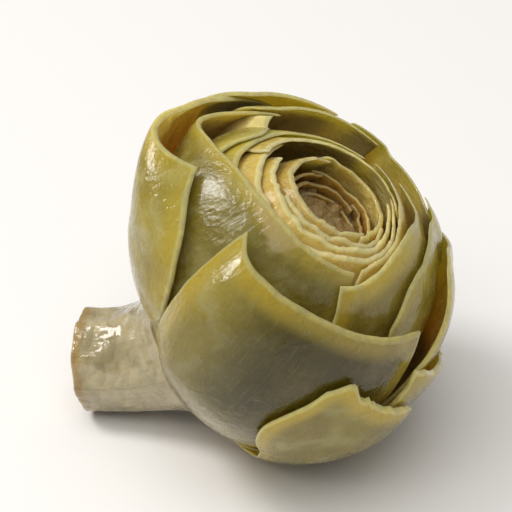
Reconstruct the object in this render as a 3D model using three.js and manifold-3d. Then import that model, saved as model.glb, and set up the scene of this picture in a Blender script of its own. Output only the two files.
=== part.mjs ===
import * as THREE from "three";
import { mergeVertices } from "three/addons/utils/BufferGeometryUtils.js";
import Module from "manifold-3d";

// A cooked artichoke heart that lies on its side on a short peeled stem.
// Millimetres, +Z up. The stem points to -X, the cut leaf tips look up and to +X.
// The origin is the middle of the small flat spot that the head lies on.

// overall size and pose
const headCentre = new THREE.Vector3(-3.93, -0.07, 28.3);
const axisRiseDegrees = 50;
const axisBendPerMm = 0.0085;
const outerLayer = 31;

// the head's outline from the root of a leaf to its cut rim
const bellyShare = 1.17;
const topRadiusShare = 0.8;
const rootSwell = 0.8;
const rootRun = 6;
const rootRunLoss = 5;
const bellyHeight = 8;
const bellyDrop = 5;
const topHeight = 17;
const upperBackTurn = -138;
const upperBackSwell = 0.1;
const upperBackRises = [0.45, 1.05];
const stemSideTurn = -48;
const stemSideDent = 0.25;
const stemSideRises = [0.12, 0.52];

// the heart, an ellipse turned about the axis, that the leaves grow from
const heartRadius = 16.5;
const heartHalfHeight = 8;
const heartCentreHeight = -15;
const heartSpreadDegrees = 145;
const heartInset = 0.3;
const heartSides = 16;
const heartRows = 6;
const rootDepth = 1.2;

// the stem
const stemEnd = new THREE.Vector3(-37.03, -0.07, 7.45);
const stemEndRadius = 8;
const stemTopRadius = 9.2;
const stemFlare = 3;
const endSlant = 1.6;
const stemSides = 24;
const stemRows = 6;
const peelStrokes = 9;
const peelDepth = 0.35;
const seatGap = 0.3;

// the leaves
const leafColumns = 10;
const leafRows = 7;
const hollowColumns = 6;
const ringColumns = 10;
const ringRows = 4;
const leafGap = 0.45;
const ringGap = 0.32;
const rowCrowding = 1.15;
const edgeThinning = 0.35;
const rimThinning = 0.15;
const leanPower = 2.2;
const easeHeight = 0.25;
const easeReach = 0.7;
const pastRim = 1.12;

// the small leaves round the hollow: their middle lies off the axis, towards ringShiftTurn,
// and their rims stand lowest towards ringLiftTurn
const ringShift = 0.18;
const ringShiftTurn = -93;
const ringLiftTurn = -40;
const ringRootShare = 0.9;

// five rings of thin leaves down in the hollow
const hollowRings = 5;
const hollowFirstTurn = -53;
const hollowTwist = 67;
const hollowReach = 188;
const hollowFirstLayer = 2.8;
const hollowLayerStep = 1.4;
const hollowFirstRim = 0.86;
const hollowRimStep = 0.043;
const hollowThickness = 0.65;

// the yellow leaves at the hollow's edge and round it: [start turn, end turn, layer, rim above the others']
const innerRim = 1.12;
const innerLiftPerMm = 0.0143;
const innerLiftFrom = 10.5;
const innerThickness = 1.1;
const innerSpans = [
  [-150, 40, 11.1, 0],
  [30, 215, 11.1, -0.005],
  [-58, 75, 12.5, -0.005],
  [-98, 118, 13.9, 0],
  [-115, 125, 15.6, -0.01],
  [105, 262, 16.2, 0.01],
  [28, 168, 19.6, 0],
];

// the grid that the leaves are laid on, one over the other
const gridTurns = 96;
const gridRises = 45;
const gridTop = 1.6;
const spread = 2;

const wasm = await Module();
wasm.setup();

const radians = THREE.MathUtils.degToRad;
const clamp = THREE.MathUtils.clamp;

// a smooth curve through points given as pairs [x, y], held level past both ends
function along(points, x) {
  const last = points.length - 1;
  const held = clamp(x, points[0][0], points[last][0]);
  let i = 0;
  while (i < last - 1 && held >= points[i + 1][0]) {
    i += 1;
  }
  const slope = (k) => (points[k + 1][1] - points[k][1]) / (points[k + 1][0] - points[k][0]);
  const tangent = (k) => {
    if (k === 0) {
      return slope(0);
    }
    if (k === last) {
      return slope(last - 1);
    }
    return (slope(k - 1) + slope(k)) / 2;
  };
  const width = points[i + 1][0] - points[i][0];
  const s = (held - points[i][0]) / width;
  const rise = s * s * (3 - 2 * s);
  const bendStart = width * tangent(i) * s * (1 - s) * (1 - s);
  const bendEnd = width * tangent(i + 1) * s * s * (s - 1);
  return points[i][1] * (1 - rise) + points[i + 1][1] * rise + bendStart + bendEnd;
}

// the point at a height along the head's bent axis, with the outward direction at a turn
function onAxis(height, turn, radius) {
  const tilt = radians(axisRiseDegrees) + axisBendPerMm * height;
  const start = radians(axisRiseDegrees);
  const x = (Math.sin(tilt) - Math.sin(start)) / axisBendPerMm;
  const z = (Math.cos(start) - Math.cos(tilt)) / axisBendPerMm;
  const near = -Math.cos(radians(turn));
  const down = Math.sin(radians(turn));
  const outward = new THREE.Vector3(down * Math.sin(tilt), near, -down * Math.cos(tilt));
  return new THREE.Vector3(x, 0, z).add(headCentre).addScaledVector(outward, radius);
}

// the head is fuller at its upper back and slimmer low on the side by the stem
function fullness(rise, turn) {
  const back = Math.max(0, Math.cos(radians(turn - upperBackTurn)));
  const side = Math.max(0, Math.cos(radians(turn - stemSideTurn)));
  const high = THREE.MathUtils.smoothstep(rise, ...upperBackRises);
  const low = 1 - THREE.MathUtils.smoothstep(rise, ...stemSideRises);
  return 1 + upperBackSwell * back * high - stemSideDent * side * low;
}

// layers lie in each other like an onion's: layer is the radius at the widest place in mm,
// rise goes from 0 at the heart to 1 at the cut top, turn goes round the axis in degrees
function headPoint(layer, rise, turn) {
  const part = layer / outerLayer;
  const spreadAngle = part * radians(heartSpreadDegrees);
  const rootRadius = heartRadius * Math.sin(spreadAngle);
  const rootHeight = heartCentreHeight + heartHalfHeight * Math.cos(spreadAngle);
  const swollen = rootRadius + (layer - rootRadius) * rootSwell;
  const radii = [rootRadius, swollen, layer * bellyShare, layer * topRadiusShare];
  const rootEnd = rootHeight + rootRun - rootRunLoss * part * part;
  const heights = [rootHeight, rootEnd, bellyHeight - bellyDrop * part, topHeight - part];
  const left = 1 - rise;
  const weights = [left ** 3, 3 * rise * left ** 2, 3 * rise ** 2 * left, rise ** 3];
  let radius = 0;
  let height = 0;
  for (let i = 0; i < 4; i += 1) {
    radius += weights[i] * radii[i];
    height += weights[i] * heights[i];
  }
  return onAxis(height, turn, radius * fullness(rise, turn));
}

// a leaf's outline: left and right are pairs [rise, turn], rim is pairs [across, rise],
// layer and lean are pairs [across, mm], across goes from -1 at the left edge to 1 at the right
function leafPlace(leaf, across, up) {
  const rise = along(leaf.rim, across) * up;
  const left = along(leaf.left, rise);
  const right = along(leaf.right, rise);
  return { rise, turn: (left + right) / 2 + across * (right - left) / 2 };
}

function leafCoordinates(leaf, rise, turn) {
  const left = along(leaf.left, rise);
  const right = along(leaf.right, rise);
  const offset = THREE.MathUtils.euclideanModulo(turn - (left + right) / 2 + 180, 360) - 180;
  const across = offset / ((right - left) / 2);
  return { across, up: rise / along(leaf.rim, clamp(across, -1, 1)) };
}

function leafLean(leaf, across, up) {
  const start = leaf.leanStart;
  const part = Math.max(0, (up - start) / (1 - start));
  return along(leaf.lean, across) * part ** leanPower;
}

function leafThickness(leaf, across, up) {
  return leaf.thick * (1 - edgeThinning * Math.abs(across) ** 3) * (1 - rimThinning * up);
}

// grids of numbers over the head, by rise row and turn column
function makeGrid(value) {
  return Array.from({ length: gridRises }, () => new Array(gridTurns).fill(value));
}

function mapGrid(rule) {
  return makeGrid(0).map((row, j) => row.map((cell, i) => rule(j, i)));
}

function wrap(i) {
  return (i + gridTurns) % gridTurns;
}

function rowInside(j) {
  return clamp(j, 0, gridRises - 1);
}

// the highest value within the reach of a cell
function highest(grid, reach) {
  return mapGrid((j, i) => {
    let top = -Infinity;
    for (let dj = -reach; dj <= reach; dj += 1) {
      for (let di = -reach; di <= reach; di += 1) {
        top = Math.max(top, grid[rowInside(j + dj)][wrap(i + di)]);
      }
    }
    return top;
  });
}

// the mean of the cells within the reach, the near ones counting most
function softened(grid, reach) {
  return mapGrid((j, i) => {
    let sum = 0;
    let total = 0;
    for (let dj = -reach; dj <= reach; dj += 1) {
      for (let di = -reach; di <= reach; di += 1) {
        const bellJ = 1 + Math.cos(Math.PI * dj / (reach + 1));
        const bellI = 1 + Math.cos(Math.PI * di / (reach + 1));
        sum += bellJ * bellI * grid[rowInside(j + dj)][wrap(i + di)];
        total += bellJ * bellI;
      }
    }
    return sum / total;
  });
}

// the value between the grid's cells
function readGrid(grid, rise, turn) {
  const x = THREE.MathUtils.euclideanModulo(turn, 360) / 360 * gridTurns;
  const y = clamp(rise / gridTop * (gridRises - 1), 0, gridRises - 1.001);
  const i = Math.floor(x);
  const j = Math.floor(y);
  const low = THREE.MathUtils.lerp(grid[j][wrap(i)], grid[j][wrap(i + 1)], x - i);
  const high = THREE.MathUtils.lerp(grid[j + 1][wrap(i)], grid[j + 1][wrap(i + 1)], x - i);
  return THREE.MathUtils.lerp(low, high, y - j);
}

// lays the leaves over each other from the inside out: a leaf takes its own layer,
// or lies on the leaves below it where they stand higher
function layLeaves(leaves) {
  let surface = makeGrid(0);
  for (const leaf of leaves) {
    const places = mapGrid((j, i) => {
      const rise = j / (gridRises - 1) * gridTop;
      return leafCoordinates(leaf, rise, i / gridTurns * 360);
    });
    const inside = mapGrid((j, i) => {
      const { across, up } = places[j][i];
      return Math.abs(across) <= 1 && up <= 1 ? 1 : 0;
    });
    const covered = highest(inside, 1);
    const own = mapGrid((j, i) => along(leaf.layer, clamp(places[j][i].across, -1, 1)));
    const below = mapGrid((j, i) => (covered[j][i] ? surface[j][i] : Math.min(surface[j][i], own[j][i])));
    const bed = softened(highest(below, spread), spread);
    leaf.inner = mapGrid((j, i) => {
      const across = clamp(places[j][i].across, -1, 1);
      const up = clamp(places[j][i].up, 0, pastRim);
      const wanted = own[j][i] + leafLean(leaf, across, up);
      const resting = bed[j][i] + leaf.gap;
      const ease = easeHeight * Math.exp(-Math.abs(resting - wanted) / easeReach);
      return Math.max(resting, wanted) + ease;
    });
    const laid = surface;
    surface = mapGrid((j, i) => {
      const across = clamp(places[j][i].across, -1, 1);
      const outer = leaf.inner[j][i] + leafThickness(leaf, across, clamp(places[j][i].up, 0, 1));
      return covered[j][i] ? Math.max(laid[j][i], outer) : laid[j][i];
    });
  }
  return leaves;
}

// a closed slab between two sheets with the same columns and rows
function slab(outerAt, innerAt, columns, rows) {
  const sheet = new THREE.PlaneGeometry(2, 1, columns, rows);
  const flat = sheet.getAttribute("position");
  const count = flat.count;
  const positions = new Float32Array(count * 6);
  for (let i = 0; i < count; i += 1) {
    const across = flat.getX(i);
    const up = (flat.getY(i) + 0.5) ** rowCrowding;
    outerAt(across, up).toArray(positions, i * 3);
    innerAt(across, up).toArray(positions, (count + i) * 3);
  }
  const outer = Array.from(sheet.getIndex().array);
  const inner = outer.map((v) => v + count).reverse();
  const width = columns + 1;
  const border = [];
  for (let i = 0; i < columns; i += 1) {
    border.push(i);
  }
  for (let j = 0; j < rows; j += 1) {
    border.push(j * width + columns);
  }
  for (let i = columns; i > 0; i -= 1) {
    border.push(rows * width + i);
  }
  for (let j = rows; j > 0; j -= 1) {
    border.push(j * width);
  }
  const rim = border.flatMap((a, k) => {
    const b = border[(k + 1) % border.length];
    return [a, b, b + count, a, b + count, a + count];
  });
  const geometry = new THREE.BufferGeometry();
  geometry.setAttribute("position", new THREE.BufferAttribute(positions, 3));
  geometry.setIndex([...outer, ...inner, ...rim]);
  return geometry;
}

// a leaf from its root in the heart to its cut rim
function leafGeometry(leaf) {
  const surfaceAt = (across, up, thickness) => {
    const { rise, turn } = leafPlace(leaf, across, up);
    const layer = readGrid(leaf.inner, rise, turn) + thickness;
    const point = headPoint(layer, rise, turn);
    if (up > 0) {
      return point;
    }
    const middle = onAxis(heartCentreHeight, 0, 0);
    return point.add(middle.sub(point).setLength(rootDepth));
  };
  const outerAt = (across, up) => surfaceAt(across, up, leafThickness(leaf, across, up));
  const innerAt = (across, up) => surfaceAt(across, up, 0);
  return slab(outerAt, innerAt, leaf.columns, leaf.rows);
}

// solids for joining and cutting
function toSolid(geometry) {
  const plain = geometry.clone();
  plain.deleteAttribute("normal");
  plain.deleteAttribute("uv");
  const merged = mergeVertices(plain, 1e-4);
  const vertProperties = new Float32Array(merged.getAttribute("position").array);
  const triVerts = new Uint32Array(merged.getIndex().array);
  return new wasm.Manifold(new wasm.Mesh({ numProp: 3, vertProperties, triVerts }));
}

function toGeometry(solid) {
  const mesh = solid.getMesh();
  const geometry = new THREE.BufferGeometry();
  geometry.setAttribute("position", new THREE.BufferAttribute(new Float32Array(mesh.vertProperties), 3));
  geometry.setIndex(new THREE.BufferAttribute(new Uint32Array(mesh.triVerts), 1));
  geometry.computeVertexNormals();
  return geometry;
}

function moveVertices(geometry, rule) {
  const position = geometry.getAttribute("position");
  const vertex = new THREE.Vector3();
  for (let i = 0; i < position.count; i += 1) {
    vertex.fromBufferAttribute(position, i);
    const moved = rule(vertex);
    position.setXYZ(i, moved.x, moved.y, moved.z);
  }
  return geometry;
}

// an upright turned shape is laid along the head's bent axis
function alongAxis(geometry) {
  return moveVertices(geometry, (v) => {
    const turn = THREE.MathUtils.radToDeg(Math.atan2(v.x, v.z));
    return onAxis(v.y, turn, Math.hypot(v.x, v.z) * fullness(0, turn));
  });
}

function heartBottom() {
  return heartCentreHeight + heartHalfHeight * Math.cos(radians(heartSpreadDegrees)) - heartInset;
}

function heartGeometry() {
  const profile = [new THREE.Vector2(0, heartBottom())];
  for (let i = 0; i < heartRows; i += 1) {
    const angle = radians(heartSpreadDegrees) * (1 - i / heartRows);
    const radius = (heartRadius - heartInset) * Math.sin(angle);
    const height = heartCentreHeight + (heartHalfHeight - heartInset) * Math.cos(angle);
    profile.push(new THREE.Vector2(radius, i === 0 ? heartBottom() : height));
  }
  profile.push(new THREE.Vector2(0, heartCentreHeight + heartHalfHeight - heartInset));
  return alongAxis(new THREE.LatheGeometry(profile, heartSides));
}

// part of a ring round the hollow, from one turn to another
function ringLeaf(start, end, base, rimRise, lift, thick, columns) {
  const middle = (start + end) / 2;
  const half = (end - start) / 2;
  const rootHalf = half * ringRootShare;
  const across = [-1, -0.75, -0.5, -0.25, 0, 0.25, 0.5, 0.75, 1];
  const turnAt = (a) => middle + a * half;
  const shiftAt = (a) => 1 + ringShift * Math.cos(radians(turnAt(a) - ringShiftTurn));
  const liftAt = (a) => lift * Math.cos(radians(turnAt(a) - ringLiftTurn));
  return {
    left: [[0, middle - rootHalf], [0.5, middle - half], [1.5, middle - half]],
    right: [[0, middle + rootHalf], [0.5, middle + half], [1.5, middle + half]],
    rim: across.map((a) => [a, rimRise - liftAt(a)]),
    layer: across.map((a) => [a, base * shiftAt(a)]),
    lean: level(0),
    leanStart: 0.4,
    thick,
    gap: ringGap,
    columns,
    rows: ringRows,
  };
}

// the thin leaves down in the hollow, two to a ring
function hollowLeaves() {
  const leaves = [];
  for (let ring = 0; ring < hollowRings; ring += 1) {
    for (let half = 0; half < 2; half += 1) {
      const start = hollowFirstTurn + ring * hollowTwist + half * 180;
      const base = hollowFirstLayer + ring * hollowLayerStep;
      const rim = hollowFirstRim + ring * hollowRimStep;
      leaves.push(ringLeaf(start, start + hollowReach, base, rim, 0, hollowThickness, hollowColumns));
    }
  }
  return leaves;
}

// the yellow leaves round the hollow: the wider the ring, the higher its far side stands
function innerLeaves() {
  return innerSpans.map(([start, end, base, extra]) => {
    const lift = innerLiftPerMm * (base - innerLiftFrom);
    return ringLeaf(start, end, base, innerRim + extra, lift, innerThickness, ringColumns);
  });
}

function outerLeaf(left, right, rim, layer, lean, thick, leanStart = 0.4) {
  const size = { thick, gap: leafGap, columns: leafColumns, rows: leafRows };
  return { left, right, rim, layer, lean, leanStart, ...size };
}

function level(value) {
  return [[-1, value], [1, value]];
}

// the broad leaves, from the inside out
function broadLeaves() {
  const innerCollar = outerLeaf(
    [[0, -160], [0.4, -176], [1.4, -180]],
    [[0, -20], [0.4, 4], [1.4, 10]],
    [[-1, 1.19], [-0.6, 1.14], [-0.35, 1.1], [-0.12, 1.035], [0, 1], [0.15, 0.99], [0.4, 1.03], [1, 1.05]],
    [[-1, 16.6], [-0.5, 18.5], [0, 20.3], [0.5, 19], [1, 17.6]], level(0), 1.1);
  const backStrip = outerLeaf(
    [[0, -130], [0.5, -122], [1.5, -118]],
    [[0, -76], [1.5, -74]],
    [[-1, 1.07], [-0.5, 1.08], [-0.25, 1.05], [0, 1], [0.3, 0.96], [1, 0.88]],
    [[-1, 20.6], [-0.3, 21.3], [0.3, 22.4], [1, 22.4]], level(0), 1);
  const upperLeft = outerLeaf(
    [[0, -110], [0.3, -132], [1.3, -136]],
    [[0, 0], [0.4, 18], [1.3, 22]],
    [[-1, 1.04], [-0.8, 1], [-0.58, 0.93], [-0.43, 0.985], [-0.24, 1.05], [0.04, 1.09],
      [0.27, 1.1], [0.6, 1.085], [1, 1.07]],
    [[-1, 23.5], [0, 23], [0.6, 21.5], [1, 19.7]],
    [[-1, 1.6], [-0.8, 2.6], [-0.58, 4.2], [-0.43, 2.6], [-0.24, 1.2], [0.04, 0.2], [1, 0]], 1.3);
  const backRight = outerLeaf(
    [[0, 165], [0.3, 172], [1.4, 174]],
    [[0, 215], [0.3, 228], [1.4, 232]],
    [[-1, 1.12], [0, 1.1], [1, 1.03]],
    level(24), [[-1, 5], [-0.3, 6], [0.3, 4.5], [1, 1]], 1.2);
  const rightInner = outerLeaf(
    [[0, 40], [0.4, 28], [0.92, 19], [1.05, 14], [1.4, 12]],
    [[0, 125], [0.4, 140], [1.4, 150]],
    [[-1, 1.03], [-0.86, 1.05], [-0.65, 1.1], [-0.46, 1.16], [0.02, 1.21], [0.7, 1.155], [1, 1.15]],
    [[-1, 20.5], [0, 21], [1, 22]], level(0), 1.4);
  const rightBack = outerLeaf(
    [[0, 118], [0.3, 122], [1.4, 124]],
    [[0, 170], [0.3, 182], [1.4, 186]],
    [[-1, 1.14], [0, 1.13], [1, 1.12]],
    level(24.5), [[-1, 1.2], [0, 3.4], [1, 4.6]], 1.2);
  const rightOuter = outerLeaf(
    [[0, 62], [0.4, 56], [0.9, 50], [1.4, 50]],
    [[0, 125], [0.4, 134], [1.4, 138]],
    [[-1, 0.93], [-0.84, 1.045], [-0.66, 1.09], [-0.4, 1.115], [0.25, 1.15], [0.82, 1.14], [1, 1.13]],
    level(23.2), [[-1, 0], [-0.4, 0.2], [0.2, 1.2], [0.6, 2.6], [1, 2.6]], 1.3);
  const leftSide = outerLeaf(
    [[0, -135], [0.3, -148], [1.3, -150]],
    [[0, -95], [0.12, -75], [0.25, -54], [0.36, -38], [0.46, -34], [0.56, -37], [0.68, -42],
      [0.81, -52], [0.9, -64], [0.97, -74]],
    [[-1, 0.9], [-0.23, 0.95], [0.03, 0.94], [0.28, 0.915], [0.57, 0.905], [1, 0.965]],
    [[-1, 26], [0, 26], [0.6, 26], [1, 25.2]],
    [[-1, 0], [-0.3, 0.4], [0, 2.8], [0.4, 5.8], [0.7, 3.6], [1, 0.2]], 1.5, 0.25);
  const front = outerLeaf(
    [[0, -8], [0.12, -8], [0.25, -16], [0.37, -27], [0.5, -32], [0.75, -36], [1.1, -37]],
    [[0, 62], [0.3, 62], [0.8, 56], [1.1, 62]],
    [[-1, 1.01], [-0.6, 0.99], [0, 0.985], [0.5, 0.98], [1, 0.98]],
    [[-1, 26], [-0.8, 27.6], [1, 27.3]], level(0), 1.5);
  const rightSide = outerLeaf(
    [[0, 72], [0.4, 64], [1.4, 66]],
    [[0, 140], [0.4, 148], [1.4, 148]],
    [[-1, 0.84], [-0.85, 0.9], [-0.7, 0.99], [-0.5, 1.09], [-0.2, 1.1], [0.3, 1.04], [1, 0.92]],
    [[-1, 26.4], [-0.4, 26.8], [1, 26]], [[-1, 1.6], [-0.5, 2.4], [0, 1.4], [1, 0.4]], 1.4);
  const backTop = outerLeaf(
    [[0, 185], [0.3, 190], [1.4, 193]],
    [[0, 230], [0.3, 236], [1.4, 241]],
    [[-1, 1.05], [-0.5, 1.05], [0, 1.02], [0.6, 0.98], [1, 0.9]],
    level(27), [[-1, 4.2], [-0.14, 4], [0.42, 2.8], [1, 0.5]], 1.4);
  const lowBack = outerLeaf(
    [[0, 125], [0.3, 118], [1.4, 120]],
    [[0, 205], [0.3, 215], [1.4, 215]],
    [[-1, 0.78], [0, 0.84], [1, 0.78]],
    level(28.3), level(0.3), 1.5);
  const lowRight = outerLeaf(
    [[0, 40], [0.3, 46], [0.8, 55], [1.2, 58]],
    [[0, 130], [0.3, 136], [1.2, 130]],
    [[-1, 0.9], [-0.55, 0.86], [0, 0.8], [1, 0.7]],
    level(28.6), [[-1, 1], [1, 0.5]], 1.5);
  const bottom = outerLeaf(
    [[0, 55], [0.3, 45], [0.42, 33], [0.52, 19], [0.64, 16], [0.78, 23], [0.86, 27]],
    [[0, 120], [0.3, 105], [0.6, 75], [0.85, 57]],
    [[-1, 0.8], [-0.8, 0.85], [-0.5, 0.83], [0, 0.81], [1, 0.78]],
    level(30), level(0), 1.5);
  return [innerCollar, backStrip, upperLeft, backRight, rightInner, rightBack, rightOuter,
    leftSide, front, rightSide, backTop, lowBack, lowRight, bottom];
}

// everything below the surface that the head lies on is cut away
function belowGround() {
  const size = 100;
  const box = new THREE.BoxGeometry(size, size, size);
  box.translate(0, 0, -size / 2);
  return toSolid(box);
}

function headGeometry() {
  const leaves = layLeaves([...hollowLeaves(), ...innerLeaves(), ...broadLeaves()]);
  let head = toSolid(heartGeometry());
  for (const leaf of leaves) {
    head = head.add(toSolid(leafGeometry(leaf)));
  }
  return toGeometry(head.subtract(belowGround()));
}

// the stem bends from its cut end up to the heart and is peeled in flat strokes
function stemGeometry() {
  const top = onAxis(heartBottom() - seatGap, 0, 0);
  const tilt = radians(axisRiseDegrees) + axisBendPerMm * (heartBottom() - seatGap);
  const upDirection = new THREE.Vector3(Math.cos(tilt), 0, Math.sin(tilt));
  const reach = stemEnd.distanceTo(top) / 2;
  const knee = top.clone().addScaledVector(upDirection, -reach);
  const middle = new THREE.QuadraticBezierCurve3(stemEnd, knee, top);
  const upright = new THREE.CylinderGeometry(1, 1, 1, stemSides, stemRows);
  const bent = moveVertices(upright, (v) => {
    const part = v.y + 0.5;
    const angle = Math.atan2(v.x, v.z);
    const forward = middle.getTangent(part);
    const sideways = new THREE.Vector3(0, -1, 0);
    const upwards = new THREE.Vector3().crossVectors(sideways, forward).negate();
    const flat = peelDepth * Math.abs(Math.sin(angle * peelStrokes / 2 + part));
    const straight = THREE.MathUtils.lerp(stemEndRadius, stemTopRadius, part ** 2);
    const radius = straight + stemFlare * part ** 5 - flat * (1 - part);
    const share = Math.hypot(v.x, v.z);
    const distance = share * radius;
    const slant = endSlant * (1 - Math.sin(angle) * share) * (1 - part) ** 2;
    const point = middle.getPoint(part).addScaledVector(forward, slant);
    point.addScaledVector(sideways, Math.cos(angle) * distance);
    return point.addScaledVector(upwards, Math.sin(angle) * distance);
  });
  return toGeometry(toSolid(bent).subtract(belowGround()));
}

function headMaterial() {
  return new THREE.MeshStandardMaterial({ color: "#8d7f45", roughness: 0.35, metalness: 0 });
}

function stemMaterial() {
  return new THREE.MeshStandardMaterial({ color: "#a39a76", roughness: 0.4, metalness: 0 });
}

function part(name, geometry, material) {
  const mesh = new THREE.Mesh(geometry, material);
  mesh.name = name;
  return mesh;
}

const artichoke = new THREE.Group();
artichoke.add(part("leaf_head", headGeometry(), headMaterial()));
artichoke.add(part("stem", stemGeometry(), stemMaterial()));

export default artichoke;
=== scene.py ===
import math
import bpy
import numpy as np
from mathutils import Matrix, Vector


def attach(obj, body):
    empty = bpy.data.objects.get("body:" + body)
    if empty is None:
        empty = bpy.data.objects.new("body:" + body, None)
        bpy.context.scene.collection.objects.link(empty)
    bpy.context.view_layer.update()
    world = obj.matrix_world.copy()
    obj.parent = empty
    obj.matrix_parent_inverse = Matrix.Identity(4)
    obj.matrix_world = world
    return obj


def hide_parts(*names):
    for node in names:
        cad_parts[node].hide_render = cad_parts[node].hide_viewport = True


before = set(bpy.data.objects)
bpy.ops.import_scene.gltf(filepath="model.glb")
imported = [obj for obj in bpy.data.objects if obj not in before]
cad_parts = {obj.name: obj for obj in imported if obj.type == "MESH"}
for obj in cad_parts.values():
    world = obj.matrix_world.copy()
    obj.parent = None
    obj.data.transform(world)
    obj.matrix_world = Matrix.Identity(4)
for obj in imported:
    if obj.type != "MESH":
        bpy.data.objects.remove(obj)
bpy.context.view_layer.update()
mm = 0.001
floorGap = 0.02  # mm that the lowest points stay above the floor
degreesPerRadian = 57.3

# where the camera stands; target is the point in the middle of the picture, in mm
view = {
    "azimuth": 12.0,
    "elevation": 34.0,
    "distance": 380.0,
    "lens": 165.0,
    "target": (-7.25, 1.94, 31.29),
}

# the head: the point at height 0 of its axis, how the axis leans and bends, and how the layers run
head = {
    "centre": (-3.93, -0.07, 28.3),
    "axisRise": 50.0,
    "axisBend": 0.0085,
    "outerLayer": 31.0,
    "rootSwell": 0.8,
    "rootRun": 6.0,
    "rootRunLoss": 5.0,
    "bellyShare": 1.17,
    "bellyHeight": 8.0,
    "bellyDrop": 5.0,
    "topRadiusShare": 0.8,
    "topHeight": 17.0,
    "upperBackTurn": -138.0,
    "upperBackSwell": 0.10,
    "upperBackRises": (0.45, 1.05),
    "stemSideTurn": -48.0,
    "stemSideDent": 0.25,
    "stemSideRises": (0.12, 0.52),
}

heart = {
    "radius": 16.5,
    "halfHeight": 8.0,
    "centreHeight": -15.0,
    "spread": 145.0,
    "inset": 0.3,
    "rootDepth": 1.2,
    "rows": 28,
    "columns": 72,
}

# the crumpled middle of the hollow, with two dark pits as (turn, mm from the axis)
bud = {
    "height": 15.0,
    "radius": 7.8,
    "lump": 1.6,
    "lumpSize": 2.3,
    "fall": 0.012,
    "pits": [(-160, 6.3), (152, 5.6)],
    "pitDepth": 1.5,
    "pitWidth": 1.1,
    "offset": 2.4,
    "offsetTurn": 165.0,
    "rootDrop": 7.0,
    "rows": 44,
    "columns": 110,
    "seed": 21,
}

# the rib between the two pockets at the back: its top runs through (layer, rise, turn)
rib = {
    "top": [(18.0, 1.055, -116.0), (20.0, 1.06, -118.5), (22.8, 1.06, -122.5), (25.4, 1.055, -129.5)],
    "foot": 0.7,
    "thickness": 1.5,
    "flare": 1.4,
    "sag": 0.02,
    "lump": 0.12,
    "rows": 36,
    "columns": 30,
    "seed": 31,
}

# the field that the leaves are laid on: columns round the head, rows up it
field = {
    "turns": 144,
    "rises": 65,
    "top": 1.6,
    "reach": 3,
}

# the small leaves round the hollow: their middle lies off the axis, towards shiftTurn
rings = {
    "shift": 0.18,
    "shiftTurn": -93.0,
    "rim": 1.12,
    "liftPerMm": 0.0143,
    "liftFrom": 10.5,
    "liftTurn": -40.0,
    "gap": 0.08,
    "wave": 0.17,
    "toneRange": 0.6,
    "rootNarrowing": 0.9,
}

# the thin leaves down in the hollow: two half rings for each step outwards
hollow = {
    "steps": 5,
    "firstTurn": -53.0,
    "twist": 67.0,
    "reach": 188.0,
    "firstLayer": 2.8,
    "layerStep": 1.4,
    "firstRim": 0.86,
    "rimStep": 0.043,
    "thickness": 0.95,
    "torn": 0.6,
    "seed": 300,
}

# the yellow leaves round the hollow, inside out, as (first turn, last turn, layer, extra rise of the rim):
# the hollow's edge, the leaves pressed against it on the near side, the ring with the high far side
inner = {
    "spans": [
        (-150, 40, 11.1, 0.0), (30, 215, 11.1, -0.005), (-58, 75, 12.5, -0.005), (-98, 118, 13.9, 0.0),
        (-115, 125, 15.6, -0.01), (105, 262, 16.2, 0.01), (28, 168, 19.6, 0.0)],
    "thickness": 1.5,
    "torn": 0.45,
    "seed": 400,
}

# what all leaves share; sizes in mm
leafShape = {
    "length": 44.0,
    "sideThinning": 0.35,
    "rimThinning": 0.15,
    "leanPower": 2.2,
    "pastRim": 1.12,
    "easeHeight": 0.25,
    "easeReach": 0.7,
    "cornerRadius": 0.26,
    "cornerShare": 0.3,
    "leastWidth": 8.0,
    "nickDepth": 1.6,
    "nickLength": 3.1,
    "tearLength": 1.1,
    "sideWander": 2.2,
    "waveTurn": 17.0,
    "waveRise": 3.1,
    "ribDepth": 0.05,
    "ribSpacing": 3.4,
    "skinThickness": 0.3,
    "cutBulge": 0.05,
    "cutGrain": 0.06,
}

stem = {
    "end": (-37.5, -0.8, 8.25),
    "endRadius": 8.85,
    "topRadius": 9.9,
    "topSwell": 4.0,
    "topHeight": -19.5,
    "length": 22.0,
    "slant": 1.7,
    "strokes": 9,
    "strokeDepth": 0.55,
    "fibreDepth": 0.07,
    "lumpDepth": 0.22,
    "edgeRadius": 0.7,
    "edgeShare": 0.6,
    "dish": 0.35,
    "dishGrain": 0.12,
    "faceRings": [0.97, 0.9, 0.8, 0.68, 0.55, 0.42, 0.3, 0.18, 0.08],
    "rows": 90,
    "columns": 160,
    "seed": 11,
}


# numbers

# smooth curve through (x, y) pairs: cubic Hermite pieces, each slope the mean of its neighbours', level past
# the ends
def smoothCurve(points, x):
    p = np.array(points, float)
    px, py = p[:, 0], p[:, 1]
    slope = np.diff(py) / np.diff(px)
    tangent = np.concatenate([slope[:1], (slope[1:] + slope[:-1]) / 2, slope[-1:]])
    x = np.clip(x, px[0], px[-1])
    i = np.clip(np.searchsorted(px, x, side="right") - 1, 0, len(px) - 2)
    width = px[i + 1] - px[i]
    s = (x - px[i]) / width
    ease = s * s * (3 - 2 * s)
    bend = width * (tangent[i] * s * (1 - s) ** 2 + tangent[i + 1] * s * s * (s - 1))
    return py[i] * (1 - ease) + py[i + 1] * ease + bend


# 0 below a, 1 above b, and 3t^2 - 2t^3 between
def easeStep(a, b, x):
    t = np.clip((x - a) / (b - a), 0, 1)
    return t * t * (3 - 2 * t)


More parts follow.
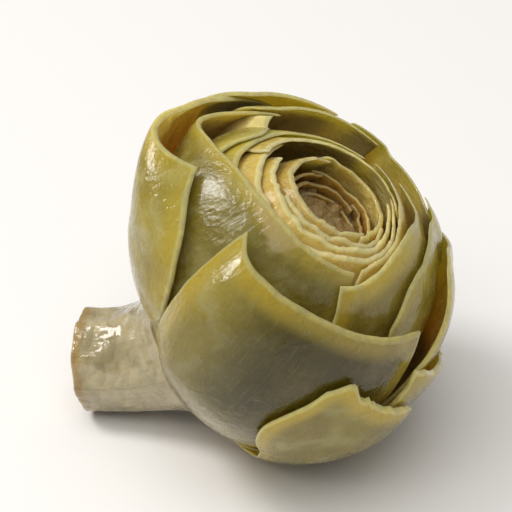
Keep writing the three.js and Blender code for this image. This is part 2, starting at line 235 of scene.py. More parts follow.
# smooth noise from -1 to 1: random numbers at whole x, y, eased between them
def noise2(x, y, seed):
    table = np.random.default_rng(seed).uniform(-1, 1, (64, 64))
    i, j = np.floor(x).astype(int), np.floor(y).astype(int)
    s, t = easeStep(0, 1, x - i), easeStep(0, 1, y - j)
    i0, i1, j0, j1 = i % 64, (i + 1) % 64, j % 64, (j + 1) % 64
    low = table[j0, i0] * (1 - s) + table[j0, i1] * s
    high = table[j1, i0] * (1 - s) + table[j1, i1] * s
    return low * (1 - t) + high * t


# noise of three sizes added, each half as large and about twice as fine as the last
def layeredNoise(x, y, seed):
    coarse = noise2(x, y, seed)
    medium = noise2(2.1 * x, 2.1 * y, seed + 1)
    fine = noise2(4.3 * x, 4.3 * y, seed + 2)
    return (coarse + medium / 2 + fine / 4) / 1.75


# the head's form

# point at a height along the bent axis, pushed out by radius at a turn:
# x = (sin b - sin b0) / k, z = (cos b0 - cos b) / k with b = b0 + k * height
def onAxis(height, turn, radius):
    start = math.radians(head["axisRise"])
    k = head["axisBend"]
    tilt = start + k * height
    near = -np.cos(np.radians(turn))
    down = np.sin(np.radians(turn))
    x = (np.sin(tilt) - math.sin(start)) / k + radius * down * np.sin(tilt)
    z = (math.cos(start) - np.cos(tilt)) / k - radius * down * np.cos(tilt)
    return np.stack(np.broadcast_arrays(x, radius * near, z), -1) + np.array(head["centre"])


# 1 + swell at the upper back - dent low on the stem's side
def fullness(rise, turn):
    back = np.maximum(0, np.cos(np.radians(turn - head["upperBackTurn"])))
    side = np.maximum(0, np.cos(np.radians(turn - head["stemSideTurn"])))
    swell = head["upperBackSwell"] * back * easeStep(*head["upperBackRises"], rise)
    dent = head["stemSideDent"] * side * (1 - easeStep(*head["stemSideRises"], rise))
    return 1 + swell - dent


# onion layers: a cubic Bezier from the heart (rise 0) past the belly to the cut top (rise 1), turned about
# the axis
def headPoint(layer, rise, turn):
    part = layer / head["outerLayer"]
    angle = part * math.radians(heart["spread"])
    rootRadius = heart["radius"] * np.sin(angle)
    rootHeight = heart["centreHeight"] + heart["halfHeight"] * np.cos(angle)
    radii = (rootRadius, rootRadius + (layer - rootRadius) * head["rootSwell"],
             layer * head["bellyShare"], layer * head["topRadiusShare"])
    heights = (rootHeight, rootHeight + head["rootRun"] - head["rootRunLoss"] * part ** 2,
               head["bellyHeight"] - head["bellyDrop"] * part, head["topHeight"] - part)
    weights = ((1 - rise) ** 3, 3 * rise * (1 - rise) ** 2, 3 * rise ** 2 * (1 - rise), rise ** 3)
    radius = sum(w * r for w, r in zip(weights, radii))
    height = sum(w * h for w, h in zip(weights, heights))
    return onAxis(height, turn, radius * fullness(rise, turn))


# the leaves. left and right are (rise, turn) pairs; rim is (across, rise); layer and lean are (across, mm);
# olive and gold are (across, share); bow is (height, mm) and roll is (mm from the left side, mm)

# the same value from one side of a leaf to the other
def level(value):
    return [(-1, value), (1, value)]


# what a leaf has unless its own line says otherwise
plainLeaf = {
    "gap": 0.45,
    "torn": 0.12,
    "leanStart": 0.4,
    "wave": 0.16,
    "lean": level(0),
    "olive": level(0.4),
    "gold": level(0.5),
    "tone": 0,
    "bow": [(0, 0), (1, 0)],
    "roll": [(0, 0), (20, 0)],
}


# a leaf's own values over the plain ones
def oneLeaf(**own):
    return {**plainLeaf, **own}


# part of a ring round the hollow, from one turn to another.
# layer = base * (1 + shift * cos(turn - shiftTurn)), rim = rimRise - lift * cos(turn - liftTurn)
def ringLeaf(start, end, base, rim, lift, look, seed):
    middle, half = (start + end) / 2, (end - start) / 2
    layers, rims = [], []
    for across in np.linspace(-1, 1, 9):
        turn = math.radians(middle + across * half)
        shift = rings["shift"] * math.cos(turn - math.radians(rings["shiftTurn"]))
        layers.append((across, base * (1 + shift)))
        rims.append((across, rim - lift * math.cos(turn - math.radians(rings["liftTurn"]))))
    rootHalf = half * rings["rootNarrowing"]
    return oneLeaf(
        left=[(0, middle - rootHalf), (0.5, middle - half), (1.5, middle - half)],
        right=[(0, middle + rootHalf), (0.5, middle + half), (1.5, middle + half)],
        rim=rims, layer=layers, thick=look["thickness"], torn=look["torn"], seed=seed,
        gap=rings["gap"], wave=rings["wave"], olive=level(0.2), gold=level(0.6),
        tone=rings["toneRange"] * math.sin(seed))


# two half rings for each step: layer and rim grow by a step, and each step is turned by the twist
def hollowLeaves():
    leaves = []
    for step in range(hollow["steps"]):
        base = hollow["firstLayer"] + hollow["layerStep"] * step
        rim = hollow["firstRim"] + hollow["rimStep"] * step
        for side in range(2):
            start = hollow["firstTurn"] + step * hollow["twist"] + side * 180
            seed = hollow["seed"] + 10 * step + side
            leaves.append(ringLeaf(start, start + hollow["reach"], base, rim, 0, hollow, seed))
    return leaves


# one ring leaf for each span, whose lift grows with its layer
def innerLeaves():
    leaves = []
    for k, (start, end, base, extra) in enumerate(inner["spans"]):
        lift = rings["liftPerMm"] * (base - rings["liftFrom"])
        leaves.append(ringLeaf(start, end, base, rings["rim"] + extra, lift, inner, inner["seed"] + k))
    return leaves


# the outer leaves, inside out
def broadLeaves():
    return [
        oneLeaf(name="innerCollarLeaf", thick=1.1, seed=1,
                left=[(0, -160), (0.4, -176), (1.4, -180)], right=[(0, -20), (0.4, 4), (1.4, 10)],
                rim=[(-1, 1.19), (-0.6, 1.14), (-0.35, 1.1), (-0.12, 1.035), (0, 1.0), (0.15, 0.99),
                     (0.4, 1.03), (1, 1.05)],
                layer=[(-1, 16.6), (-0.5, 18.5), (0, 20.3), (0.5, 19), (1, 17.6)]),
        oneLeaf(name="backStripLeaf", thick=1.0, seed=2,
                left=[(0, -130), (0.5, -122), (1.5, -118)], right=[(0, -76), (1.5, -74)],
                rim=[(-1, 1.07), (-0.5, 1.08), (-0.25, 1.05), (0, 1.0), (0.3, 0.96), (1, 0.88)],
                layer=[(-1, 20.6), (-0.3, 21.3), (0.3, 22.4), (1, 22.4)]),
        oneLeaf(name="upperLeftLeaf", thick=1.3, seed=3,
                left=[(0, -110), (0.3, -132), (1.3, -136)], right=[(0, 0), (0.4, 18), (1.3, 22)],
                rim=[(-1, 1.04), (-0.8, 1.0), (-0.58, 0.93), (-0.43, 0.985), (-0.24, 1.05), (0.04, 1.09),
                     (0.27, 1.1), (0.6, 1.085), (1, 1.07)],
                layer=[(-1, 23.5), (0, 23), (0.6, 21.5), (1, 19.7)],
                lean=[(-1, 1.6), (-0.8, 2.6), (-0.58, 4.2), (-0.43, 2.6), (-0.24, 1.2), (0.04, 0.2), (1, 0)],
                olive=[(-1, 0.2), (-0.4, 0.35), (0, 0.5), (1, 0.5)], gold=level(0.3), tone=-0.4,
                # a torn second skin above a line of (turn, rise)
                peel=[(-62, 1.13), (-56, 1.075), (-43, 1.055), (-32, 1.03), (-23, 1.003), (-20, 1.035),
                      (-16, 1.078), (-12, 1.16)]),
        oneLeaf(name="backRightLeaf", thick=1.2, seed=5,
                left=[(0, 165), (0.3, 172), (1.4, 174)], right=[(0, 215), (0.3, 228), (1.4, 232)],
                rim=[(-1, 1.12), (0, 1.1), (1, 1.03)], layer=level(24),
                lean=[(-1, 5), (-0.3, 6), (0.3, 4.5), (1, 1)]),
        oneLeaf(name="rightInnerLeaf", thick=1.4, seed=6,
                left=[(0, 40), (0.4, 28), (0.92, 19), (1.05, 14), (1.4, 12)],
                right=[(0, 125), (0.4, 140), (1.4, 150)],
                rim=[(-1, 1.03), (-0.86, 1.05), (-0.65, 1.1), (-0.46, 1.16), (0.02, 1.21), (0.7, 1.155),
                     (1, 1.15)],
                layer=[(-1, 20.5), (0, 21), (1, 22)],
                olive=level(0.5), gold=level(0.6), tone=0.1),
        oneLeaf(name="rightBackLeaf", thick=1.2, seed=7,
                left=[(0, 118), (0.3, 122), (1.4, 124)], right=[(0, 170), (0.3, 182), (1.4, 186)],
                rim=[(-1, 1.14), (0, 1.13), (1, 1.12)], layer=level(24.5),
                lean=[(-1, 1.2), (0, 3.4), (1, 4.6)]),
        oneLeaf(name="rightOuterLeaf", thick=1.3, seed=8,
                left=[(0, 62), (0.4, 56), (0.9, 50), (1.4, 50)], right=[(0, 125), (0.4, 134), (1.4, 138)],
                rim=[(-1, 0.93), (-0.84, 1.045), (-0.66, 1.09), (-0.4, 1.115), (0.25, 1.15), (0.82, 1.14),
                     (1, 1.13)],
                layer=level(23.2), lean=[(-1, 0), (-0.4, 0.2), (0.2, 1.2), (0.6, 2.6), (1, 2.6)]),
        oneLeaf(name="leftSideLeaf", thick=1.5, seed=9, leanStart=0.25,
                left=[(0, -135), (0.3, -148), (1.3, -150)],
                right=[(0, -95), (0.12, -75), (0.25, -54), (0.36, -38), (0.46, -34), (0.56, -37), (0.68, -42),
                       (0.81, -52), (0.9, -64), (0.97, -74)],
                rim=[(-1, 0.9), (-0.23, 0.95), (0.03, 0.94), (0.28, 0.915), (0.57, 0.905), (1, 0.965)],
                layer=[(-1, 26), (0, 26), (0.6, 26), (1, 25.2)],
                lean=[(-1, 0), (-0.3, 0.4), (0, 2.8), (0.4, 5.8), (0.7, 3.6), (1, 0.2)],
                bow=[(0, 0), (0.25, 0.5), (0.38, -0.2), (0.5, -0.7), (0.62, -0.4), (0.75, 0.3), (0.88, 0.8),
                     (1, 1.0)],
                olive=level(0.15), gold=level(0.45), tone=0.1),
        # the front leaf: its dark olive middle and right and its low tone are painted shade, its golden left
        # margin painted light
        oneLeaf(name="frontLeaf", thick=1.5, seed=10,
                left=[(0, -8), (0.12, -8), (0.25, -16), (0.37, -27), (0.5, -32), (0.75, -36), (1.1, -37)],
                right=[(0, 62), (0.3, 62), (0.8, 56), (1.1, 62)],
                rim=[(-1, 1.01), (-0.6, 0.99), (0, 0.985), (0.5, 0.98), (1, 0.98)],
                layer=[(-1, 26), (-0.8, 27.6), (1, 27.3)],
                roll=[(0, -0.5), (1.5, 0.5), (4, 1.6), (7, 1.2), (11, 0.35), (15, 0)],
                olive=[(-1, 0), (-0.7, 0.1), (-0.35, 0.75), (-0.1, 1), (1, 1)],
                gold=[(-1, 0.9), (-0.4, 0.8), (-0.1, 0.12), (1, 0.05)], tone=-0.95),
        oneLeaf(name="rightSideLeaf", thick=1.4, seed=11,
                left=[(0, 72), (0.4, 64), (1.4, 66)], right=[(0, 140), (0.4, 148), (1.4, 148)],
                rim=[(-1, 0.84), (-0.85, 0.9), (-0.7, 0.99), (-0.5, 1.09), (-0.2, 1.1), (0.3, 1.04),
                     (1, 0.92)],
                layer=[(-1, 26.4), (-0.4, 26.8), (1, 26)],
                lean=[(-1, 1.6), (-0.5, 2.4), (0, 1.4), (1, 0.4)]),
        oneLeaf(name="backTopLeaf", thick=1.4, seed=12,
                left=[(0, 185), (0.3, 190), (1.4, 193)], right=[(0, 230), (0.3, 236), (1.4, 241)],
                rim=[(-1, 1.05), (-0.5, 1.05), (0, 1.02), (0.6, 0.98), (1, 0.9)], layer=level(27),
                lean=[(-1, 4.2), (-0.14, 4), (0.42, 2.8), (1, 0.5)]),
        oneLeaf(name="lowBackLeaf", thick=1.5, seed=13,
                left=[(0, 125), (0.3, 118), (1.4, 120)], right=[(0, 205), (0.3, 215), (1.4, 215)],
                rim=[(-1, 0.78), (0, 0.84), (1, 0.78)], layer=level(28.3), lean=level(0.3)),
        oneLeaf(name="lowRightLeaf", thick=1.5, seed=14, torn=0.3,
                left=[(0, 40), (0.3, 46), (0.8, 55), (1.2, 58)], right=[(0, 130), (0.3, 136), (1.2, 130)],
                rim=[(-1, 0.9), (-0.55, 0.86), (0, 0.8), (1, 0.7)], layer=level(28.6),
                lean=[(-1, 1), (1, 0.5)]),
        oneLeaf(name="bottomLeaf", thick=1.5, seed=15, torn=0.45,
                left=[(0, 55), (0.3, 45), (0.42, 33), (0.52, 19), (0.64, 16), (0.78, 23), (0.86, 27)],
                right=[(0, 120), (0.3, 105), (0.6, 75), (0.85, 57)],
                rim=[(-1, 0.8), (-0.8, 0.85), (-0.5, 0.83), (0, 0.81), (1, 0.78)], layer=level(30),
                gold=level(0.8), tone=0.35),
    ]


# laying the leaves over each other

# turn = middle of the two edges + across * half their distance, both edges read at the rise
def leafPlace(leaf, across, up):
    rise = smoothCurve(leaf["rim"], across) * up
    left, right = smoothCurve(leaf["left"], rise), smoothCurve(leaf["right"], rise)
    return rise, (left + right) / 2 + across * (right - left) / 2


# the same turned round: across and up from rise and turn
def leafCoordinates(leaf, rise, turn):
    left, right = smoothCurve(leaf["left"], rise), smoothCurve(leaf["right"], rise)
    offset = (turn - (left + right) / 2 + 180) % 360 - 180
    across = offset / ((right - left) / 2)
    return across, rise / smoothCurve(leaf["rim"], np.clip(across, -1, 1))


# lean at the rim, falling off below as a power of the height
def leafLean(leaf, across, up):
    part = np.maximum(0, (up - leaf["leanStart"]) / (1 - leaf["leanStart"]))
    return smoothCurve(leaf["lean"], across) * part ** leafShape["leanPower"]


# thick * (1 - side thinning * |across|^3) * (1 - rim thinning * up)
def leafThickness(leaf, across, up):
    sides = 1 - leafShape["sideThinning"] * np.abs(across) ** 3
    return leaf["thick"] * sides * (1 - leafShape["rimThinning"] * up)


# highest value within reach cells, round the turns and held at the first and last row
def highestNear(grid, reach):
    wide = np.max([np.roll(grid, d, 1) for d in range(-reach, reach + 1)], 0)
    padded = np.pad(wide, ((reach, reach), (0, 0)), mode="edge")
    return np.max([padded[d:d + grid.shape[0]] for d in range(2 * reach + 1)], 0)


# mean within reach cells, weighted 1 + cos(pi d / (reach + 1)) each way
def softened(grid, reach):
    d = np.arange(-reach, reach + 1)
    bell = 1 + np.cos(np.pi * d / (reach + 1))
    bell = bell / bell.sum()
    wide = sum(b * np.roll(grid, k, 1) for b, k in zip(bell, d))
    padded = np.pad(wide, ((reach, reach), (0, 0)), mode="edge")
    return sum(b * padded[k:k + grid.shape[0]] for k, b in enumerate(bell))


# each leaf's inner face = the larger of its own layer + lean and the softened leaves below it + gap,
# with the corner between the two eased by a bell
def layLeaves(leaves):
    turns = np.arange(field["turns"]) * 360 / field["turns"]
    rises = np.linspace(0, field["top"], field["rises"])
    turn, rise = np.meshgrid(turns, rises)
    surface = np.zeros_like(turn)
    for leaf in leaves:
        across, up = leafCoordinates(leaf, rise, turn)
        inside = (np.abs(across) <= 1) & (up <= 1)
        covered = highestNear(inside.astype(float), 1) > 0
        across = np.clip(across, -1, 1)
        own = smoothCurve(leaf["layer"], across)
        below = np.where(covered, surface, np.minimum(surface, own))
        bed = softened(highestNear(below, field["reach"]), field["reach"]) + leaf["gap"]
        wanted = own + leafLean(leaf, across, np.clip(up, 0, leafShape["pastRim"]))
        ease = leafShape["easeHeight"] * np.exp(-np.abs(bed - wanted) / leafShape["easeReach"])
        leaf["inner"] = np.maximum(bed, wanted) + ease
        outer = leaf["inner"] + leafThickness(leaf, across, np.clip(up, 0, 1))
        surface = np.where(covered, np.maximum(surface, outer), surface)


# Catmull-Rom weights of the four cells round a place, f from 0 to 1 between the middle two
def cellWeights(f):
    return ((-f + 2 * f * f - f ** 3) / 2, (2 - 5 * f * f + 3 * f ** 3) / 2,
            (f + 4 * f * f - 3 * f ** 3) / 2, (f ** 3 - f * f) / 2)


# field read between its cells with those weights both ways
def readField(grid, rise, turn):
    x = (turn % 360) / 360 * field["turns"]
    y = np.clip(rise / field["top"] * (field["rises"] - 1), 0, field["rises"] - 1.001)
    i, j = np.floor(x).astype(int), np.floor(y).astype(int)
    total = 0
    for dj, wj in zip((-1, 0, 1, 2), cellWeights(y - j)):
        row = np.clip(j + dj, 0, field["rises"] - 1)
        for di, wi in zip((-1, 0, 1, 2), cellWeights(x - i)):
            total = total + wj * wi * grid[row, (i + di) % field["turns"]]
    return total


# meshes

# parameter lines from -1 to 1 or 0 to 1, crowded where the edge is rounded
def edgeLines(count, low, high, edge, bothEnds):
    between = np.linspace(low + (edge if bothEnds else 0), high - edge, count)
    end = [high - edge * 0.3, high]
    start = [low, low + edge * 0.3] if bothEnds else []
    return np.concatenate([start, between, end])


# faces of a slab whose points are an outer sheet, an inner sheet and then any rings between their borders:
# the outer quads, the inner quads turned round, and a strip from each ring to the next
def slabFaces(rows, columns, betweenRings=0):
    count = rows * columns
    index = np.arange(count).reshape(rows, columns)
    quads = np.stack([index[:-1, :-1], index[:-1, 1:], index[1:, 1:], index[1:, :-1]], -1).reshape(-1, 4)
    border = np.concatenate([index[0, :-1], index[:-1, -1], index[-1, :0:-1], index[:0:-1, 0]])
    nextInside = np.concatenate([index[1, :-1], index[:-1, -2], index[-2, :0:-1], index[:0:-1, 1]])
    n = len(border)
    between = [2 * count + k * n + np.arange(n) for k in range(betweenRings)]
    loops = [border] + between + [border + count]
    strips = [np.stack([a, b, np.roll(b, -1), np.roll(a, -1)], -1) for a, b in zip(loops[:-1], loops[1:])]
    return np.concatenate([quads, quads[:, ::-1] + count] + strips), border, nextInside


# quads between the rings of a tube, columns round it
def tubeFaces(rows, columns):
    i, j = np.meshgrid(np.arange(columns), np.arange(rows - 1))
    a, b = j * columns + i, j * columns + (i + 1) % columns
    return np.stack([a, b, b + columns, a + columns], -1).reshape(-1, 4)


# triangles from a tip to the ring of points that starts at first
def capFaces(tip, first, columns):
    k = np.arange(columns)
    return np.stack([np.full(columns, tip), first + k, first + (k + 1) % columns], -1)


# rise and turn of a leaf's grid: noise moves the cut rim and, towards the sides, the turn
def wornPlace(leaf, across, up, width):
    length, seed = leafShape["length"], leaf["seed"]
    along = across * width / 2
    tears = np.maximum(0, layeredNoise(along / leafShape["tearLength"], 0 * along + 3, seed + 60) - 0.25)
    nick = layeredNoise(along / leafShape["nickLength"] + 7, 0 * along + seed, seed + 40) + 0.5 * tears
    rise, turn = leafPlace(leaf, across, up)
    rise = rise - leaf["torn"] * leafShape["nickDepth"] / length * nick * up ** 6
    wander = layeredNoise(rise * length / 6 + 9, 0 * rise + seed, seed + 80)
    reach = leaf["torn"] * leafShape["sideWander"] / max(leaf["layer"][0][1], 4) * degreesPerRadian
    return rise, turn + np.sign(across) * np.abs(across) ** 8 * wander * reach


# 1 where a leaf keeps a torn second skin: above its line of (turn, rise), made ragged by noise
def tornSkin(leaf, rise, turn):
    if "peel" not in leaf:
        return np.zeros_like(rise)
    ragged = 0.008 * layeredNoise(turn / 2.2, rise * 30, leaf["seed"] + 50)
    angle = (turn + 180) % 360 - 180
    return easeStep(-0.006, 0.006, rise - smoothCurve(leaf["peel"], angle) + ragged)


# what a leaf stands above its laid place: waves + ribs + bow by height + roll by distance from the left side
def leafRelief(leaf, across, up, rise, turn, width):
    seed = leaf["seed"]
    waves = layeredNoise(turn / leafShape["waveTurn"] + seed, rise * leafShape["waveRise"] + seed, seed + 20)
    ribs = layeredNoise(across * width / leafShape["ribSpacing"] + seed, up * 2.2 + seed, seed + 30)
    bow = smoothCurve(leaf["bow"], up)
    roll = smoothCurve(leaf["roll"], (1 + across) * width / 2) * easeStep(0, 0.35, up)
    return waves * leaf["wave"] + leafShape["ribDepth"] * ribs * easeStep(0, 0.3, up) + bow + roll


# one leaf as a closed slab: outer and inner sheet, cut face of three strips between them.
# half thickness falls by the corner radius where a sheet meets the cut face
def leafGeometry(leaf, columns, rows):
    length, seed = leafShape["length"], leaf["seed"]
    corner = min(leafShape["cornerRadius"], leaf["thick"] * leafShape["cornerShare"])
    width = np.radians(abs(leaf["right"][1][1] - leaf["left"][1][1])) * leaf["layer"][0][1]
    edgeU, edgeW = 2 * corner / max(width, leafShape["leastWidth"]), corner / length
    u = edgeLines(columns, -1, 1, edgeU, True)
    w = edgeLines(rows, 0, 1, edgeW, False)
    across, up = np.meshgrid(u, w)
    rise, turn = wornPlace(leaf, across, up, width)
    peel = tornSkin(leaf, rise, turn)
    thickness = leafThickness(leaf, across, up)
    lift = leafRelief(leaf, across, up, rise, turn, width) + leafShape["skinThickness"] * peel
    middle = readField(leaf["inner"], rise, turn) + lift + thickness / 2
    # corner rounding: distance to the nearest cut edge in corner radii
    near = np.minimum(1, np.minimum((1 - np.abs(across)) / edgeU, (1 - up) / edgeW))
    rounding = corner * (1 - np.sqrt(np.clip(1 - (1 - near) ** 2, 0, 1)))
    sheets = [headPoint(middle + side * (thickness / 2 - rounding), rise, turn) for side in (1, -1)]
    axisMiddle = onAxis(np.array(heart["centreHeight"]), 0, 0)
    for sheet in sheets:  # roots sink into the heart
        inward = axisMiddle - sheet[0]
        sheet[0] += inward / np.linalg.norm(inward, axis=-1, keepdims=True) * heart["rootDepth"]
    outer, innerSheet = (sheet.reshape(-1, 3) for sheet in sheets)

    # the cut face bulges a little, with a grain
    faces, border, nextInside = slabFaces(len(w), len(u), 2)
    n = len(border)
    grain = layeredNoise(np.arange(n) * 0.9, np.zeros(n) + seed, seed + 100)[:, None]
    outward = outer[border] - outer[nextInside]
    outward = outward / np.maximum(np.linalg.norm(outward, axis=-1, keepdims=True), 1e-6)
    bulge = outward * (leafShape["cutBulge"] + leafShape["cutGrain"] * grain)
    strips = [outer[border] * (1 - t) + innerSheet[border] * t + bulge for t in (0.33, 0.67)]
    points = np.concatenate([outer, innerSheet] + strips)
    points[:, 2] = np.maximum(points[:, 2], floorGap)

    # marks for the materials: how far up, how near the cut, which face, and the leaf's own tones
    def everywhere(values, onCut=None):
        sheet = values.ravel()
        cut = sheet[border] if onCut is None else np.full(n, onCut)
        return np.concatenate([sheet, sheet, cut, cut])

    count = across.size
    rimMm = np.minimum((1 - up) * length, (1 - np.abs(across)) * width / 2)
    flat = np.stack([across * width / 2, up * length], -1).reshape(-1, 2)
    uv = np.concatenate([flat, flat + (200, 0), flat[border], flat[border]])
    marks = {
        "upLeaf": everywhere(up),
        "rimNear": everywhere(rimMm, 0.0),
        "innerFace": np.repeat([0, 1, 0.33, 0.67], [count, count, n, n]),
        "cutFace": everywhere((rounding > corner * 0.7).astype(float), 1.0),
        "leafTone": np.full(len(points), leaf["tone"]),
        "olive": everywhere(smoothCurve(leaf["olive"], across)),
        "gold": everywhere(smoothCurve(leaf["gold"], across)),
        "peel": everywhere(peel),
    }
    return points, [faces], uv, marks


# several parts as one, each part's faces counted on from the last one's points
def joinParts(parts):
    starts = np.cumsum([0] + [len(part[0]) for part in parts[:-1]])
    faces = [group + start for part, start in zip(parts, starts) for group in part[1]]
    points, uv = (np.concatenate([part[k] for part in parts]) for k in (0, 2))
    marks = {key: np.concatenate([part[3][key] for part in parts]) for key in parts[0][3]}
    return points, [np.concatenate(faces)], uv, marks


# the heart: an ellipse turned about the axis and bent with it, closed at both poles
def heartGeometry():
    rows, columns = heart["rows"], heart["columns"]
    angle = np.linspace(math.radians(heart["spread"]), 0.02, rows)
    radius = (heart["radius"] - heart["inset"]) * np.sin(angle)
    height = heart["centreHeight"] + (heart["halfHeight"] - heart["inset"]) * np.cos(angle)
    turn = np.arange(columns) * 360 / columns
    shell = onAxis(height[:, None], turn, radius[:, None] * fullness(0, turn)).reshape(-1, 3)
    poles = [onAxis(height[k], 0, 0) for k in (0, -1)]
    points = np.concatenate([shell, poles])
    low = capFaces(len(shell), 0, columns)[:, [0, 2, 1]]
    top = capFaces(len(shell) + 1, (rows - 1) * columns, columns)
    return points, [tubeFaces(rows, columns), low, top], points[:, :2], {}


# the bud: a lumpy disc across the axis, height = lumps of layered noise - fall * r^2 - a bell at each pit,
# closed below by a cone to the axis
def budGeometry():
    rows, columns = bud["rows"], bud["columns"]
    distance = np.linspace(0.02, 1, rows) * bud["radius"]
    turn, r = np.meshgrid(np.arange(columns) * 360 / columns, distance)
    shift = math.radians(bud["offsetTurn"])
    x = r * np.cos(np.radians(turn)) + bud["offset"] * math.cos(shift)
    y = r * np.sin(np.radians(turn)) + bud["offset"] * math.sin(shift)
    lumps = layeredNoise(x / bud["lumpSize"] + 9, y / bud["lumpSize"] + 9, bud["seed"])
    height = bud["height"] + bud["lump"] * np.abs(lumps) - bud["fall"] * r ** 2
    for pitTurn, pitFar in bud["pits"]:
        px, py = pitFar * math.cos(math.radians(pitTurn)), pitFar * math.sin(math.radians(pitTurn))
        bell = np.exp(-((x - px) ** 2 + (y - py) ** 2) / bud["pitWidth"] ** 2)
        height = height - bud["pitDepth"] * bell
    disc = onAxis(height, np.degrees(np.arctan2(y, x)), np.hypot(x, y)).reshape(-1, 3)
    tip = onAxis(height[0].mean(), bud["offsetTurn"], bud["offset"])
    root = onAxis(bud["height"] - bud["rootDrop"], 0, 0)
    quads = tubeFaces(rows, columns)[:, [0, 3, 2, 1]]
    middle = capFaces(len(disc), 0, columns)
    below = capFaces(len(disc) + 1, (rows - 1) * columns, columns)[:, [0, 2, 1]]
    points = np.concatenate([disc, [tip, root]])
    uv = np.concatenate([np.stack([turn.ravel() / 12, r.ravel()], -1), np.zeros((2, 2))])
    above = np.concatenate([(height - bud["height"]).ravel(), [0, 0]])
    full = np.ones(len(points))
    marks = {
        "upLeaf": np.clip(0.72 + 0.3 * above, 0.2, 1), "rimNear": 5 * full, "innerFace": 0 * full,
        "cutFace": 0 * full, "leafTone": -0.4 * full, "olive": 0.3 * full, "gold": 0 * full, "peel": 0 * full,
    }
    return points, [quads, middle, below], uv, marks


# the rib: a slab between two sheets, half thickness = t / 2 * (1 + flare * |2s - 1|^3) * sqrt(1 - 0.98 w^6),
# thicker at both ends and rounded along its top
def ribGeometry():
    rows, columns = rib["rows"], rib["columns"]
    s, w = np.meshgrid(np.linspace(0, 1, columns), np.sin(np.linspace(0, np.pi / 2, rows)))
    path = np.array(rib["top"])
    steps = np.linspace(0, 1, len(path))
    layer, top, turn = (smoothCurve(np.stack([steps, path[:, k]], 1), s) for k in range(3))
    rise = rib["foot"] + (top - rib["foot"]) * w - rib["sag"] * np.sin(np.pi * s) * w ** 4
    half = rib["thickness"] / 2 * (1 + rib["flare"] * np.abs(2 * s - 1) ** 3) * np.sqrt(1 - 0.98 * w ** 6)
    half = half + rib["lump"] * layeredNoise(s * 4 + 3, w * 5, rib["seed"])
    turnPerMm = degreesPerRadian / (layer * 0.85)
    sheets = [headPoint(layer, rise, turn + side * half * turnPerMm).reshape(-1, 3) for side in (1, -1)]
    points = np.concatenate(sheets)
    uv = np.tile(np.stack([s * 8, w * 12], -1).reshape(-1, 2), (2, 1))
    full = np.ones(len(points))
    marks = {
        "upLeaf": np.tile((0.75 + 0.25 * w).ravel(), 2), "rimNear": np.tile((12 * (1 - w)).ravel(), 2),
        "innerFace": full, "cutFace": 0 * full, "leafTone": -0.2 * full, "olive": 0.3 * full,
        "gold": 0.4 * full, "peel": 0 * full,
    }
    return points, [slabFaces(rows, columns)[0]], uv, marks


# the stem's radius: lerp(end, top) by part^2 + swell * part^4 - a knife stroke's flat + fibres + lumps,
# less r (1 - sqrt(1 - (1 - t)^2)) over the first edgeRadius mm, which rounds the cut end
def stemRadius(angle, part):
    length, seed = part * stem["length"], stem["seed"]
    radius = stem["endRadius"] + (stem["topRadius"] - stem["endRadius"]) * part ** 2
    radius = radius + stem["topSwell"] * part ** 4
    radius = radius * (1 + (fullness(0, np.degrees(angle)) - 1) * part ** 3)
    # flats: the distance to a chord, each stroke with its own start, tilt and depth
    twist = 0.25 * noise2(length / 9, 0 * angle + 2, seed)
    phase = (angle + twist) * stem["strokes"] / (2 * np.pi)
    stroke = np.floor(phase)
    depth = stem["strokeDepth"] * (0.7 + 0.5 * noise2(stroke * 3.7, length / 12, seed + 1))
    flat = depth * (1 - (2 * (phase - stroke) - 1) ** 2 * 1.6)
    fibres = stem["fibreDepth"] * layeredNoise(angle * 14, length / 7, seed + 2)
    lumps = stem["lumpDepth"] * layeredNoise(angle * 2.2, length / 4, seed + 3)
    radius = radius - np.maximum(flat, 0) * (1 - part) + fibres + lumps
    t = np.clip(length / stem["edgeRadius"], 0, 1)
    return radius - stem["edgeRadius"] * stem["edgeShare"] * (1 - np.sqrt(1 - (1 - t) ** 2))


